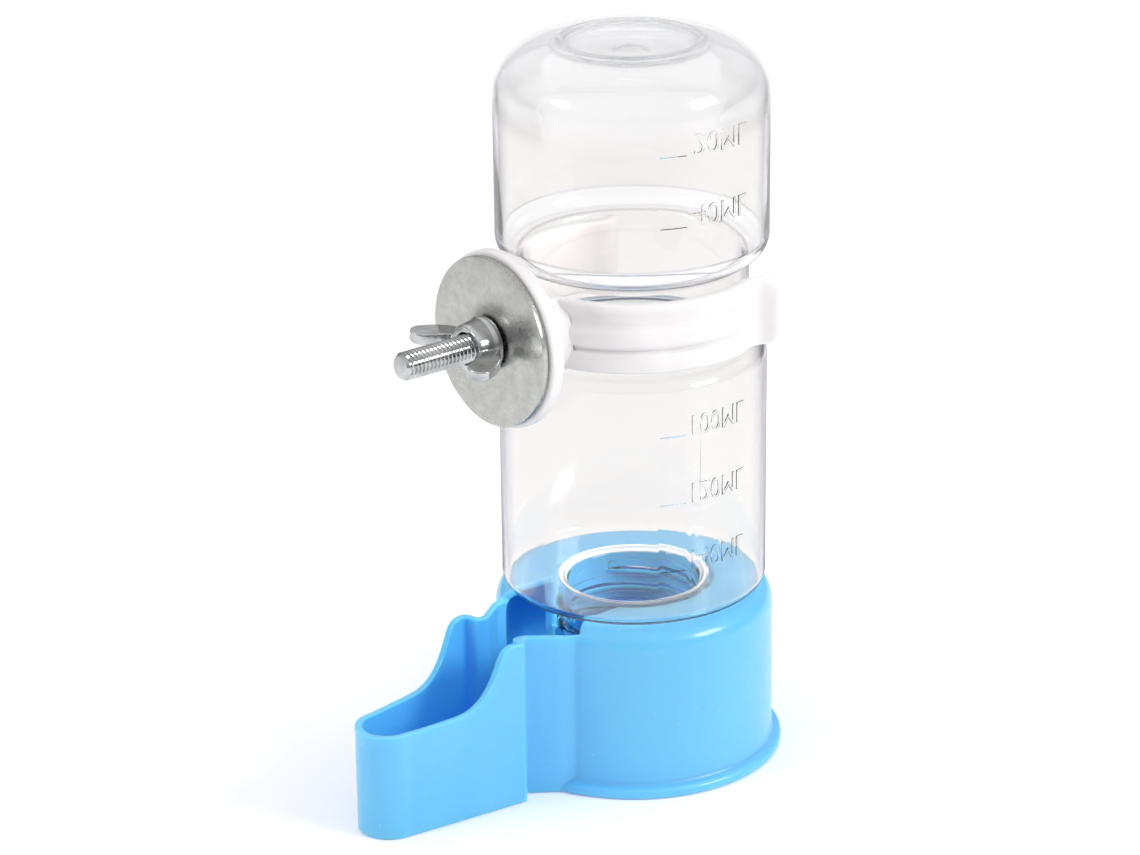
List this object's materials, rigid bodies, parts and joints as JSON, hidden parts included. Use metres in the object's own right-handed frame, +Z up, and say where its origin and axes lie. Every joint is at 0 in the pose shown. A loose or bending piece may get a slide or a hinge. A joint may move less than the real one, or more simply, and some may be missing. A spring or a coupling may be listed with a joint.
{
  "type": "small animal water bottle",
  "caption": "Inverted clear bottle screwed into a drinker base with an open trough, held in a spring clip with a clamping bolt, washer and wing nut.",
  "frame": {"origin": "centre of the round drinker base's underside, on the bottle's axis", "axes": "+Z up along the bottle's axis; -Y along the trough and the clamping bolt; +X to the side"},
  "size_m": [0.0526, 0.0867, 0.1298],
  "materials": {
    "blue_plastic": "moulded light blue polypropylene, soft gloss",
    "clear_plastic": "clear blow-moulded bottle plastic",
    "white_plastic": "moulded white plastic, satin",
    "nickel_steel": "bright plated steel",
    "zinc_steel": "dull zinc plated steel"
  },
  "bodies": {
    "base": {"base_housing": "blue_plastic", "base_floor": "blue_plastic"},
    "clip": {"clip": "white_plastic", "bolt": "nickel_steel"},
    "bottle": {"bottle": "clear_plastic"},
    "washer": {"washer": "zinc_steel"},
    "wing_nut": {"wing_nut": "nickel_steel"}
  },
  "joints": [
    {"name": "clip_lift", "type": "slide", "parent": "base", "child": "clip", "axis": [0, 0, 1], "range_m": [0, 0.00397]},
    {"name": "bottle_unscrew", "type": "hinge", "parent": "clip", "child": "bottle", "pos_m": [0, 0, 0.0827], "axis": [0, 0, 1], "range_deg": [0, 450]},
    {"name": "washer_slide", "type": "slide", "parent": "clip", "child": "washer", "axis": [0, -1, 0], "range_m": [0, 0.012]},
    {"name": "wing_nut_turn", "type": "hinge", "parent": "washer", "child": "wing_nut", "pos_m": [0, -0.034, 0.0827], "axis": [0, -1, 0], "range_deg": [0, 5401]}
  ],
  "couplings": [
    {"joint": "clip_lift", "follows": "bottle_unscrew", "m_per_rad": 0.00050532},
    {"joint": "wing_nut_turn", "follows": "washer_slide", "rad_per_m": 7854}
  ]
}
